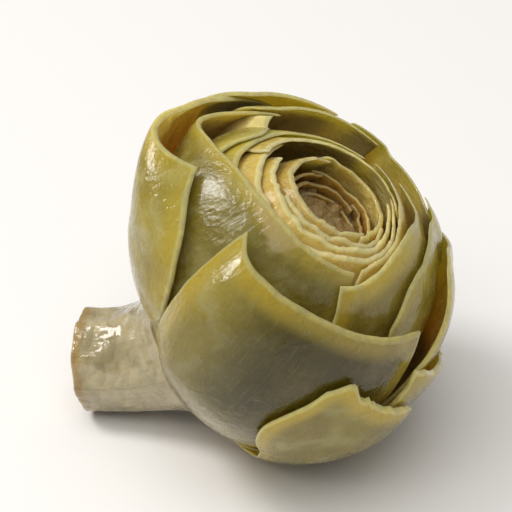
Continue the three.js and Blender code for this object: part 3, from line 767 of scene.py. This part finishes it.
# the stem: rings of that radius along a quadratic Bezier from the cut end to the heart, slanted at the end,
# and an end face of rings that shrink to the middle, a little dished and rough
def stemGeometry():
    tilt = math.radians(head["axisRise"]) + head["axisBend"] * stem["topHeight"]
    top = onAxis(stem["topHeight"], 0, 0)
    end = np.array(stem["end"])
    knee = top - np.array([math.cos(tilt), 0, math.sin(tilt)]) * np.linalg.norm(top - end) / 2
    rows, columns = stem["rows"], stem["columns"]
    s = np.linspace(0, 1, rows)[:, None]
    middle = (1 - s) ** 2 * end + 2 * s * (1 - s) * knee + s ** 2 * top
    forward = 2 * (1 - s) * (knee - end) + 2 * s * (top - knee)
    forward = forward / np.linalg.norm(forward, axis=1, keepdims=True)
    sideways = np.array([0, -1.0, 0])
    upwards = -np.cross(sideways, forward)[:, None, :]
    turns = np.arange(columns) * 2 * np.pi / columns
    angle, part = np.meshgrid(turns, s[:, 0])
    radius = stemRadius(angle, part)
    slant = stem["slant"] * (1 + np.sin(angle) * radius / stem["endRadius"]) * (1 - part) ** 2
    around = np.cos(angle)[..., None] * sideways + np.sin(angle)[..., None] * upwards
    side = middle[:, None, :] + slant[..., None] * forward[:, None, :] + radius[..., None] * around
    shrink = np.array(stem["faceRings"])[:, None]
    face = middle[0] + (side[0] - middle[0]) * shrink[..., None]
    grain = layeredNoise(turns * 3 + 0 * shrink, shrink * 9 + 0 * turns, stem["seed"] + 4)
    dish = stem["dish"] * (1 - shrink ** 2) + stem["dishGrain"] * grain
    face = face + forward[0] * dish[..., None]
    tip = middle[0] + forward[0] * stem["dish"]
    total = len(face) + rows
    count = total * columns
    points = np.concatenate([face[::-1].reshape(-1, 3), side.reshape(-1, 3), [tip, middle[-1]]])
    points[:, 2] = np.maximum(points[:, 2], floorGap)
    first = capFaces(count, 0, columns)[:, [0, 2, 1]]
    last = capFaces(count + 1, count - columns, columns)
    fromCut = (part * stem["length"]).ravel()
    run = np.concatenate([np.zeros(len(face) * columns), fromCut, [0, stem["length"]]])
    girth = np.concatenate([np.tile(turns * 8, total), [0, 0]])
    marks = {
        "core": np.concatenate([np.repeat(shrink[::-1, 0], columns), np.ones(rows * columns), [0, 1]]),
        "fromCut": run,
    }
    return points, [tubeFaces(total, columns), first, last], np.stack([girth, run], -1), marks


# building

# puts a geometry's arrays into a mesh, hangs it on the root body and hides the solid that it stands for
def build(name, geometry, material, standsFor="leaf_head"):
    points, faceGroups, uv, marks = geometry
    mesh = bpy.data.meshes.new(name)
    faces = [f for group in faceGroups for f in group.tolist()]
    mesh.from_pydata((points * mm).tolist(), [], faces)
    mesh.polygons.foreach_set("use_smooth", np.ones(len(faces), bool))
    corners = np.empty(len(mesh.loops), np.int32)
    mesh.loops.foreach_get("vertex_index", corners)
    layer = mesh.uv_layers.new(name="flat")
    layer.data.foreach_set("uv", np.asarray(uv, np.float32)[corners].ravel())
    for key, values in marks.items():
        mark = mesh.attributes.new(key, "FLOAT", "POINT")
        mark.data.foreach_set("value", np.asarray(values, np.float32))
    mesh.materials.append(material)
    mesh.update()
    thing = bpy.data.objects.new(name, mesh)
    bpy.context.scene.collection.objects.link(thing)
    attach(thing, "root")
    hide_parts(standsFor)


# materials

# sRGB 0 to 255 as linear light: ((c + 0.055) / 1.055) ^ 2.4
def colour(red, green, blue):
    return tuple(((c / 255 + 0.055) / 1.055) ** 2.4 for c in (red, green, blue)) + (1.0,)


# a new node with its settings; each of its inputs is a plain value or a socket to link
def node(tree, kind, inputs=None, **settings):
    made = tree.nodes.new(kind)
    for key, value in settings.items():
        setattr(made, key, value)
    for key, value in (inputs or {}).items():
        if isinstance(value, bpy.types.NodeSocket):
            tree.links.new(value, made.inputs[key])
        else:
            made.inputs[key].default_value = value
    return made


# first and second through one operation
def compute(tree, operation, first, second):
    return node(tree, "ShaderNodeMath", {0: first, 1: second}, operation=operation).outputs[0]


# first * second
def times(tree, first, second):
    return compute(tree, "MULTIPLY", first, second)


# below * (1 - mask) + above * mask
def blend(tree, mask, below, above):
    return node(tree, "ShaderNodeMix", {0: mask, 6: below, 7: above}, data_type="RGBA").outputs[2]


# toLow where value is low and toHigh where it is high, eased between
def span(tree, value, low, high, toLow=0.0, toHigh=1.0):
    inputs = {"Value": value, "From Min": low, "From Max": high, "To Min": toLow, "To Max": toHigh}
    return node(tree, "ShaderNodeMapRange", inputs, interpolation_type="SMOOTHSTEP").outputs[0]


# noise from 0 to 1, read at a place
def noise(tree, place, **inputs):
    return node(tree, "ShaderNodeTexNoise", {"Vector": place, **inputs}).outputs["Fac"]


# a mark that the mesh carries
def attribute(tree, name):
    return node(tree, "ShaderNodeAttribute", attribute_name=name).outputs["Fac"]


# Object coordinates in millimetres, moved by an offset
def mmCoordinates(tree, offset=(0, 0, 0)):
    place = node(tree, "ShaderNodeTexCoord").outputs["Object"]
    scaled = {"Vector": place, "Scale": (1000, 1000, 1000), "Location": offset}
    return node(tree, "ShaderNodeMapping", scaled).outputs[0]


# an empty node group, where a None input is a vector and a number is a float with that value.
# gives its tree, its inputs' sockets and the socket of its one output
def newGroup(name, inputs, output):
    tree = bpy.data.node_groups.new(name, "ShaderNodeTree")
    for key, value in inputs.items():
        kind = "NodeSocketVector" if value is None else "NodeSocketFloat"
        socket = tree.interface.new_socket(name=key, in_out="INPUT", socket_type=kind)
        if value is not None:
            socket.default_value = value
    tree.interface.new_socket(name=output, in_out="OUTPUT", socket_type="NodeSocketFloat")
    return tree, tree.nodes.new("NodeGroupInput").outputs, tree.nodes.new("NodeGroupOutput").inputs[0]


# a group's result, read at a place
def placeGroup(tree, group, place, **inputs):
    return node(tree, "ShaderNodeGroup", {"Vector": place, **inputs}, node_tree=group).outputs[0]


# long fibres from root to rim: noise squeezed across and stretched along
def fibreGroup():
    tree, start, end = newGroup("fibres", {"Vector": None, "Across": 1.6, "Along": 0.12}, "Mask")
    scale = node(tree, "ShaderNodeCombineXYZ", {"X": start["Across"], "Y": start["Along"], "Z": 1.0})
    squeezed = node(tree, "ShaderNodeVectorMath", {0: start["Vector"], 1: scale.outputs[0]},
                    operation="MULTIPLY")
    lines = noise(tree, squeezed.outputs[0], Scale=1.0, Detail=4.0, Roughness=0.6, Distortion=0.25)
    tree.links.new(lines, end)
    return tree


# soft patches of a size in mm, with an edge between two levels of the noise
def patchGroup():
    tree, start, end = newGroup("patches", {"Vector": None, "Size": 8.0, "Low": 0.45, "High": 0.6}, "Mask")
    scale = compute(tree, "DIVIDE", 1.0, start["Size"])
    cloud = noise(tree, start["Vector"], Scale=scale, Detail=3.0, Roughness=0.55, Distortion=0.6)
    tree.links.new(span(tree, cloud, start["Low"], start["High"]), end)
    return tree


# 1 at a cut edge, 0 from about Width mm inwards, with an uneven line between
def edgeGroup():
    tree, start, end = newGroup(
        "cutEdge", {"Vector": None, "Distance": 5.0, "Width": 1.0, "Ragged": 0.8}, "Mask")
    uneven = compute(tree, "SUBTRACT", noise(tree, start["Vector"], Scale=0.9, Detail=3.0), 0.5)
    share = compute(tree, "DIVIDE", start["Distance"], start["Width"])
    moved = compute(tree, "ADD", share, times(tree, uneven, start["Ragged"]))
    tree.links.new(span(tree, moved, 1.25, 0.5), end)
    return tree


# the wet skin's relief: fibres, shallow wrinkles and fine pits that break the gloss
def skinGroup(fibres):
    tree, start, end = newGroup("wetSkin", {
        "Vector": None, "Flat": None, "Fibres": 0.5, "Wrinkles": 0.5, "Pits": 0.3, "PitSize": 0.45}, "Height")
    line = placeGroup(tree, fibres, start["Flat"], Across=2.2, Along=0.16)
    wrinkle = noise(tree, start["Vector"], Scale=0.32, Detail=3.0, Distortion=0.8)
    pitScale = compute(tree, "DIVIDE", 1.0, start["PitSize"])
    pit = noise(tree, start["Vector"], Scale=pitScale, Detail=2.0, Roughness=0.7)
    pitDepth = span(tree, noise(tree, start["Vector"], Scale=0.22, Detail=2.0), 0.4, 0.62, 0.25)
    total = times(tree, line, start["Fibres"])
    total = compute(tree, "ADD", total, times(tree, wrinkle, start["Wrinkles"]))
    total = compute(tree, "ADD", total, times(tree, times(tree, pitDepth, pit), start["Pits"]))
    tree.links.new(total, end)
    return tree


# the relief of wet skin by a look's own amounts
def skinRelief(tree, wetSkin, look, place, flat):
    return placeGroup(tree, wetSkin, place, Flat=flat, Fibres=look["fibres"], Wrinkles=look["wrinkles"],
                      Pits=look["pits"], PitSize=look["pitSize"])


# a new material, with its node tree and its shader
def newMaterial(name):
    material = bpy.data.materials.new(name)
    material.use_nodes = True
    return material, material.node_tree, material.node_tree.nodes["Principled BSDF"]


# height through a bump into the normal, and the constants of wet flesh on the shader's own sockets
def wetShader(tree, shader, look, height):
    bump = node(tree, "ShaderNodeBump",
                {"Height": height, "Strength": look["bump"], "Distance": look["bumpDistance"]})
    tree.links.new(bump.outputs[0], shader.inputs["Normal"])
    for socket, key in (
            ("Coat Weight", "coat"), ("Coat Roughness", "coatRoughness"), ("IOR", "ior"),
            ("Subsurface Weight", "subsurface"), ("Subsurface Radius", "subsurfaceRadius"),
            ("Subsurface Scale", "subsurfaceScale")):
        shader.inputs[socket].default_value = look[key]


# how wet and how see-through all the leaves are
wetLeaf = {
    "bump": 0.9,
    "bumpDistance": 0.0004,
    "coatRoughness": 0.07,
    "subsurface": 0.6,
    "subsurfaceRadius": (1.0, 0.8, 0.3),
    "subsurfaceScale": 0.005,
    "ior": 1.45,
}

# where the tones lie: heights are 0 at the root and 1 at the rim, distances are mm from the cut
leafZones = {
    "bodyHeight": (0.12, 0.62),
    "oliveHeight": (0.3, 0.6),
    "oliveDistance": (0.8, 4.0),
    "marginHeight": (0.25, 0.6),
    "marginDistance": (4.2, 0.8),
    "deepShadeHeight": (0.97, 0.62),
    "rimHeight": (0.2, 0.5),
    "toneValue": (0.72, 1.12),
}

leafLook = {
    **wetLeaf,
    "root": colour(192, 168, 104),
    "body": colour(168, 152, 68),
    "olive": colour(74, 66, 14),
    "shade": colour(112, 96, 26),
    "bloom": colour(172, 164, 112),
    "margin": colour(190, 162, 44),
    "rim": colour(200, 184, 112),
    "innerFace": colour(244, 216, 142),
    "innerDeepShade": colour(192, 144, 60),
    "purple": colour(134, 108, 72),
    "peel": colour(176, 158, 116),
    "roughness": (0.08, 0.3),
    "fibres": 0.22,
    "wrinkles": 0.85,
    "pits": 0.55,
    "pitSize": 1.0,
    "rimWidth": 0.5,
    "coat": 0.24,
}

innerLook = {
    **wetLeaf,
    "root": colour(176, 142, 70),
    "body": colour(196, 168, 92),
    "olive": colour(160, 136, 62),
    "shade": colour(172, 134, 62),
    "bloom": colour(206, 188, 134),
    "margin": colour(198, 160, 56),
    "rim": colour(210, 192, 128),
    "innerFace": colour(246, 218, 128),
    "innerDeepShade": colour(232, 190, 100),
    "purple": colour(170, 134, 82),
    "peel": colour(206, 188, 134),
    "roughness": (0.08, 0.32),
    "fibres": 0.3,
    "wrinkles": 1.4,
    "pits": 1.0,
    "pitSize": 0.9,
    "rimWidth": 0.5,
    "coat": 0.25,
}

hollowLook = {
    **wetLeaf,
    "root": colour(84, 60, 30),
    "body": colour(162, 136, 90),
    "olive": colour(140, 112, 60),
    "shade": colour(126, 96, 50),
    "bloom": colour(170, 148, 104),
    "margin": colour(164, 128, 58),
    "rim": colour(178, 152, 96),
    "innerFace": colour(160, 122, 56),
    "innerDeepShade": colour(112, 80, 36),
    "purple": colour(126, 100, 74),
    "peel": colour(150, 126, 84),
    "roughness": (0.2, 0.44),
    "fibres": 0.3,
    "wrinkles": 1.5,
    "pits": 0.6,
    "pitSize": 0.5,
    "rimWidth": 0.4,
    "coat": 0.2,
}


# root cream, body green-olive with patches (on the front leaf painted shade), golden margins (partly painted
# light), pale cut rims, yellow inner faces partly painted light, browner and darker with depth as painted
# shade
def leafMaterial(name, look, groups):
    material, tree, shader = newMaterial(name)
    link = tree.links.new
    zones = leafZones
    place = mmCoordinates(tree)
    shifted = mmCoordinates(tree, (40, 13, 7))
    flat = node(tree, "ShaderNodeUVMap", uv_map="flat").outputs[0]
    up, rimNear = attribute(tree, "upLeaf"), attribute(tree, "rimNear")
    innerFace, cut = attribute(tree, "innerFace"), attribute(tree, "cutFace")
    olive, gold, tone, peel = (attribute(tree, key) for key in ("olive", "gold", "leafTone", "peel"))

    bigPatch = placeGroup(tree, groups["patches"], place, Size=14.0, Low=0.38, High=0.66)
    midPatch = placeGroup(tree, groups["patches"], shifted, Size=5.0, Low=0.45, High=0.68)
    finePatch = placeGroup(tree, groups["patches"], place, Size=1.6, Low=0.35, High=0.75)
    streaks = placeGroup(tree, groups["fibres"], flat, Across=0.9, Along=0.07)
    threads = placeGroup(tree, groups["fibres"], flat, Across=3.4, Along=0.22)

    # the outer face
    skin = blend(tree, span(tree, up, *zones["bodyHeight"]), look["root"], look["body"])
    # dark olive over the middle: real olive green, and on the front leaf painted shade
    inside = times(tree, span(tree, up, *zones["oliveHeight"]), span(tree, rimNear, *zones["oliveDistance"]))
    skin = blend(tree, times(tree, olive, inside), skin, look["olive"])
    skin = blend(tree, times(tree, bigPatch, 0.5), skin, look["shade"])
    skin = blend(tree, times(tree, midPatch, span(tree, olive, 0, 1, 0.6, 0.05)), skin, look["bloom"])
    purpleMask = times(tree, times(tree, span(tree, streaks, 0.55, 0.72), finePatch), 0.4)
    skin = blend(tree, purpleMask, skin, look["purple"])
    skin = blend(tree, times(tree, span(tree, threads, 0.52, 0.7), 0.12), skin, look["rim"])
    skin = blend(tree, times(tree, peel, 0.8), skin, look["peel"])
    # golden margins: the real golden edge, and on the front leaf's left side painted light
    upperMargin = span(tree, up, *zones["marginHeight"])
    atMargin = times(tree, span(tree, rimNear, *zones["marginDistance"]), upperMargin)
    marginMask = times(tree, times(tree, atMargin, gold), span(tree, streaks, 0.3, 0.6, 0.5, 1.0))
    skin = blend(tree, marginMask, skin, look["margin"])

    # the inner face: pale yellow, partly painted light, and darker and browner lower down as painted shade
    face = blend(tree, span(tree, up, *zones["deepShadeHeight"]), look["innerFace"], look["innerDeepShade"])
    face = blend(tree, times(tree, midPatch, 0.4), face, look["body"])
    face = blend(tree, times(tree, span(tree, threads, 0.5, 0.7), 0.3), face, look["rim"])
    whole = blend(tree, span(tree, innerFace, 0.6, 0.9), skin, face)

    # the cut rim
    edge = placeGroup(tree, groups["cutEdge"], flat, Distance=rimNear, Width=look["rimWidth"])
    rimTone = blend(tree, finePatch, look["rim"], look["bloom"])
    nearRim = times(tree, edge, span(tree, up, *zones["rimHeight"], 0.2, 0.85))
    onCut = times(tree, cut, span(tree, up, *zones["rimHeight"], 0.2, 0.7))
    whole = blend(tree, nearRim, whole, rimTone)
    whole = blend(tree, onCut, whole, rimTone)
    # each leaf's tone: random on the small leaves, set leaf by leaf on the broad ones; the front leaf's low
    # tone is painted shade
    value = span(tree, tone, -1, 1, *zones["toneValue"])
    toned = node(tree, "ShaderNodeHueSaturation", {"Color": whole, "Value": value})
    link(toned.outputs[0], shader.inputs["Base Color"])
    link(span(tree, finePatch, 0, 1, *look["roughness"]), shader.inputs["Roughness"])
    wetShader(tree, shader, look, skinRelief(tree, groups["wetSkin"], look, place, flat))
    return material


stemLook = {
    "flesh": colour(178, 164, 126),
    "grey": colour(146, 134, 98),
    "green": colour(146, 134, 74),
    "brown": colour(150, 116, 44),
    "core": colour(196, 180, 136),
    "edgeWidth": 2.2,
    "edgeRagged": 1.2,
    "roughness": (0.09, 0.3),
    "fibres": 0.25,
    "wrinkles": 1.1,
    "pits": 0.12,
    "pitSize": 0.9,
    "facetDepth": 1.9,
    "facetScale": (0.42, 0.2, 0.3),
    "bump": 0.9,
    "bumpDistance": 0.0005,
    "coat": 1.0,
    "coatRoughness": 0.08,
    "subsurface": 0.2,
    "subsurfaceRadius": (1.0, 0.8, 0.4),
    "subsurfaceScale": 0.002,
    "ior": 1.5,
}


# pale grey beige flesh with long darker fibres, browned at the cut's edge
def stemMaterial(name, look, groups):
    material, tree, shader = newMaterial(name)
    link = tree.links.new
    place = mmCoordinates(tree)
    flat = node(tree, "ShaderNodeUVMap", uv_map="flat").outputs[0]
    core, fromCut = attribute(tree, "core"), attribute(tree, "fromCut")
    bigPatch = placeGroup(tree, groups["patches"], place, Size=7.0, Low=0.4, High=0.65)
    finePatch = placeGroup(tree, groups["patches"], place, Size=1.4, Low=0.35, High=0.75)
    streaks = placeGroup(tree, groups["fibres"], flat, Across=0.5, Along=0.08)
    skin = blend(tree, bigPatch, look["flesh"], look["grey"])
    skin = blend(tree, times(tree, span(tree, streaks, 0.5, 0.68), 0.5), skin, look["green"])
    skin = blend(tree, times(tree, finePatch, 0.3), skin, look["grey"])
    edge = placeGroup(tree, groups["cutEdge"], place, Distance=fromCut, Width=look["edgeWidth"],
                      Ragged=look["edgeRagged"])
    skin = blend(tree, times(tree, edge, 0.65), skin, look["brown"])
    link(blend(tree, span(tree, core, 0.98, 0.85), skin, look["core"]), shader.inputs["Base Color"])
    link(span(tree, finePatch, 0, 1, *look["roughness"]), shader.inputs["Roughness"])
    # the knife left small flat facets: cones of a Voronoi pattern, longer than wide
    stretch = node(tree, "ShaderNodeMapping", {"Vector": place, "Scale": look["facetScale"]})
    facet = node(tree, "ShaderNodeTexVoronoi",
                 {"Vector": stretch.outputs[0], "Scale": 1.0, "Randomness": 1.0}, feature="F1")
    facets = times(tree, facet.outputs["Distance"], look["facetDepth"])
    relief = skinRelief(tree, groups["wetSkin"], look, place, flat)
    wetShader(tree, shader, look, compute(tree, "SUBTRACT", relief, facets))
    return material


# one even tone and roughness
def plainMaterial(name, tone, rough):
    material, _, shader = newMaterial(name)
    shader.inputs["Base Color"].default_value = (*tone, 1)
    shader.inputs["Roughness"].default_value = rough
    return material


fibreNodes = fibreGroup()
nodeGroups = {
    "fibres": fibreNodes,
    "patches": patchGroup(),
    "cutEdge": edgeGroup(),
    "wetSkin": skinGroup(fibreNodes),
}
leafSkin = leafMaterial("leafSkin", leafLook, nodeGroups)
innerFlesh = leafMaterial("innerFlesh", innerLook, nodeGroups)
hollowFlesh = leafMaterial("hollowFlesh", hollowLook, nodeGroups)
stemFlesh = stemMaterial("stemFlesh", stemLook, nodeGroups)
print("materials made")

thinLeaves, yellowLeaves, outerLeaves = hollowLeaves(), innerLeaves(), broadLeaves()
layLeaves(thinLeaves + yellowLeaves + outerLeaves)
print("leaves laid")

for leaf in outerLeaves:
    build(leaf["name"], leafGeometry(leaf, 72, 60), leafSkin)
build("hollowLeaves", joinParts([leafGeometry(leaf, 64, 36) for leaf in thinLeaves]), hollowFlesh)
build("innerLeaves", joinParts([leafGeometry(leaf, 64, 36) for leaf in yellowLeaves]), innerFlesh)
build("heart", heartGeometry(), leafSkin)
build("bud", budGeometry(), hollowFlesh)
build("backRib", ribGeometry(), leafSkin)
build("peeledStem", stemGeometry(), stemFlesh, "stem")
print("pieces built")


# stage

# a small window for the wet glints, a wide overhead light that leaves none, a dim room; metres and watts
studio = {
    "aim": (0, 0, 0.02),
    "windowPlace": (-0.6, 0.0, 0.82),
    "windowSize": (0.3, 0.34),
    "windowPower": 4.9,
    "windowTint": (1, 0.985, 0.96),
    "overheadPlace": (-0.1, -0.35, 1.15),
    "overheadSize": (1.3, 1.3),
    "overheadPower": 11.5,
    "overheadTint": (1, 0.99, 0.97),
    "roomTint": (1, 0.99, 0.975, 1),
    "roomStrength": 0.35,
    "floorHalf": 3.0,
    "floorTone": (0.80, 0.785, 0.77),
    "floorRoughness": 0.6,
}


# back = (sin a cos e, -cos a cos e, sin e); the camera stands that way from the target, at the distance
def camera():
    a, e = math.radians(view["azimuth"]), math.radians(view["elevation"])
    back = Vector((math.sin(a) * math.cos(e), -math.cos(a) * math.cos(e), math.sin(e)))
    data = bpy.data.cameras.new("camera")
    data.lens = view["lens"]
    thing = bpy.data.objects.new("camera", data)
    thing.location = (Vector(view["target"]) + back * view["distance"]) * mm
    thing.rotation_euler = back.to_track_quat("Z", "Y").to_euler()
    bpy.context.scene.collection.objects.link(thing)
    bpy.context.scene.camera = thing


# an area light that looks from a place at the middle of the part
def areaLight(name, place, size, power, tint):
    data = bpy.data.lights.new(name, "AREA")
    data.shape = "RECTANGLE"
    data.size, data.size_y = size
    data.energy = power
    data.color = tint
    thing = bpy.data.objects.new(name, data)
    thing.location = place
    thing.rotation_euler = (Vector(place) - Vector(studio["aim"])).to_track_quat("Z", "Y").to_euler()
    bpy.context.scene.collection.objects.link(thing)
    return thing


# a square floor at z = 0, which belongs to the stage and not to the part
def floor():
    size = studio["floorHalf"]
    points = np.array([(-size, -size, 0), (size, -size, 0), (size, size, 0), (-size, size, 0)])
    mesh = bpy.data.meshes.new("floor")
    mesh.from_pydata(points.tolist(), [], [(0, 1, 2, 3)])
    mesh.materials.append(plainMaterial("paleFloor", studio["floorTone"], studio["floorRoughness"]))
    thing = bpy.data.objects.new("floor", mesh)
    bpy.context.scene.collection.objects.link(thing)


# the room's even light, and plain colours without a film look
def room():
    world = bpy.data.worlds.new("room")
    world.use_nodes = True
    background = world.node_tree.nodes["Background"]
    background.inputs["Color"].default_value = studio["roomTint"]
    background.inputs["Strength"].default_value = studio["roomStrength"]
    bpy.context.scene.world = world
    bpy.context.scene.view_settings.view_transform = "Standard"


camera()
floor()
room()
areaLight("softWindow", studio["windowPlace"], studio["windowSize"], studio["windowPower"],
          studio["windowTint"])
overhead = areaLight("overhead", studio["overheadPlace"], studio["overheadSize"], studio["overheadPower"],
                     studio["overheadTint"])
overhead.visible_glossy = False
print("stage set")
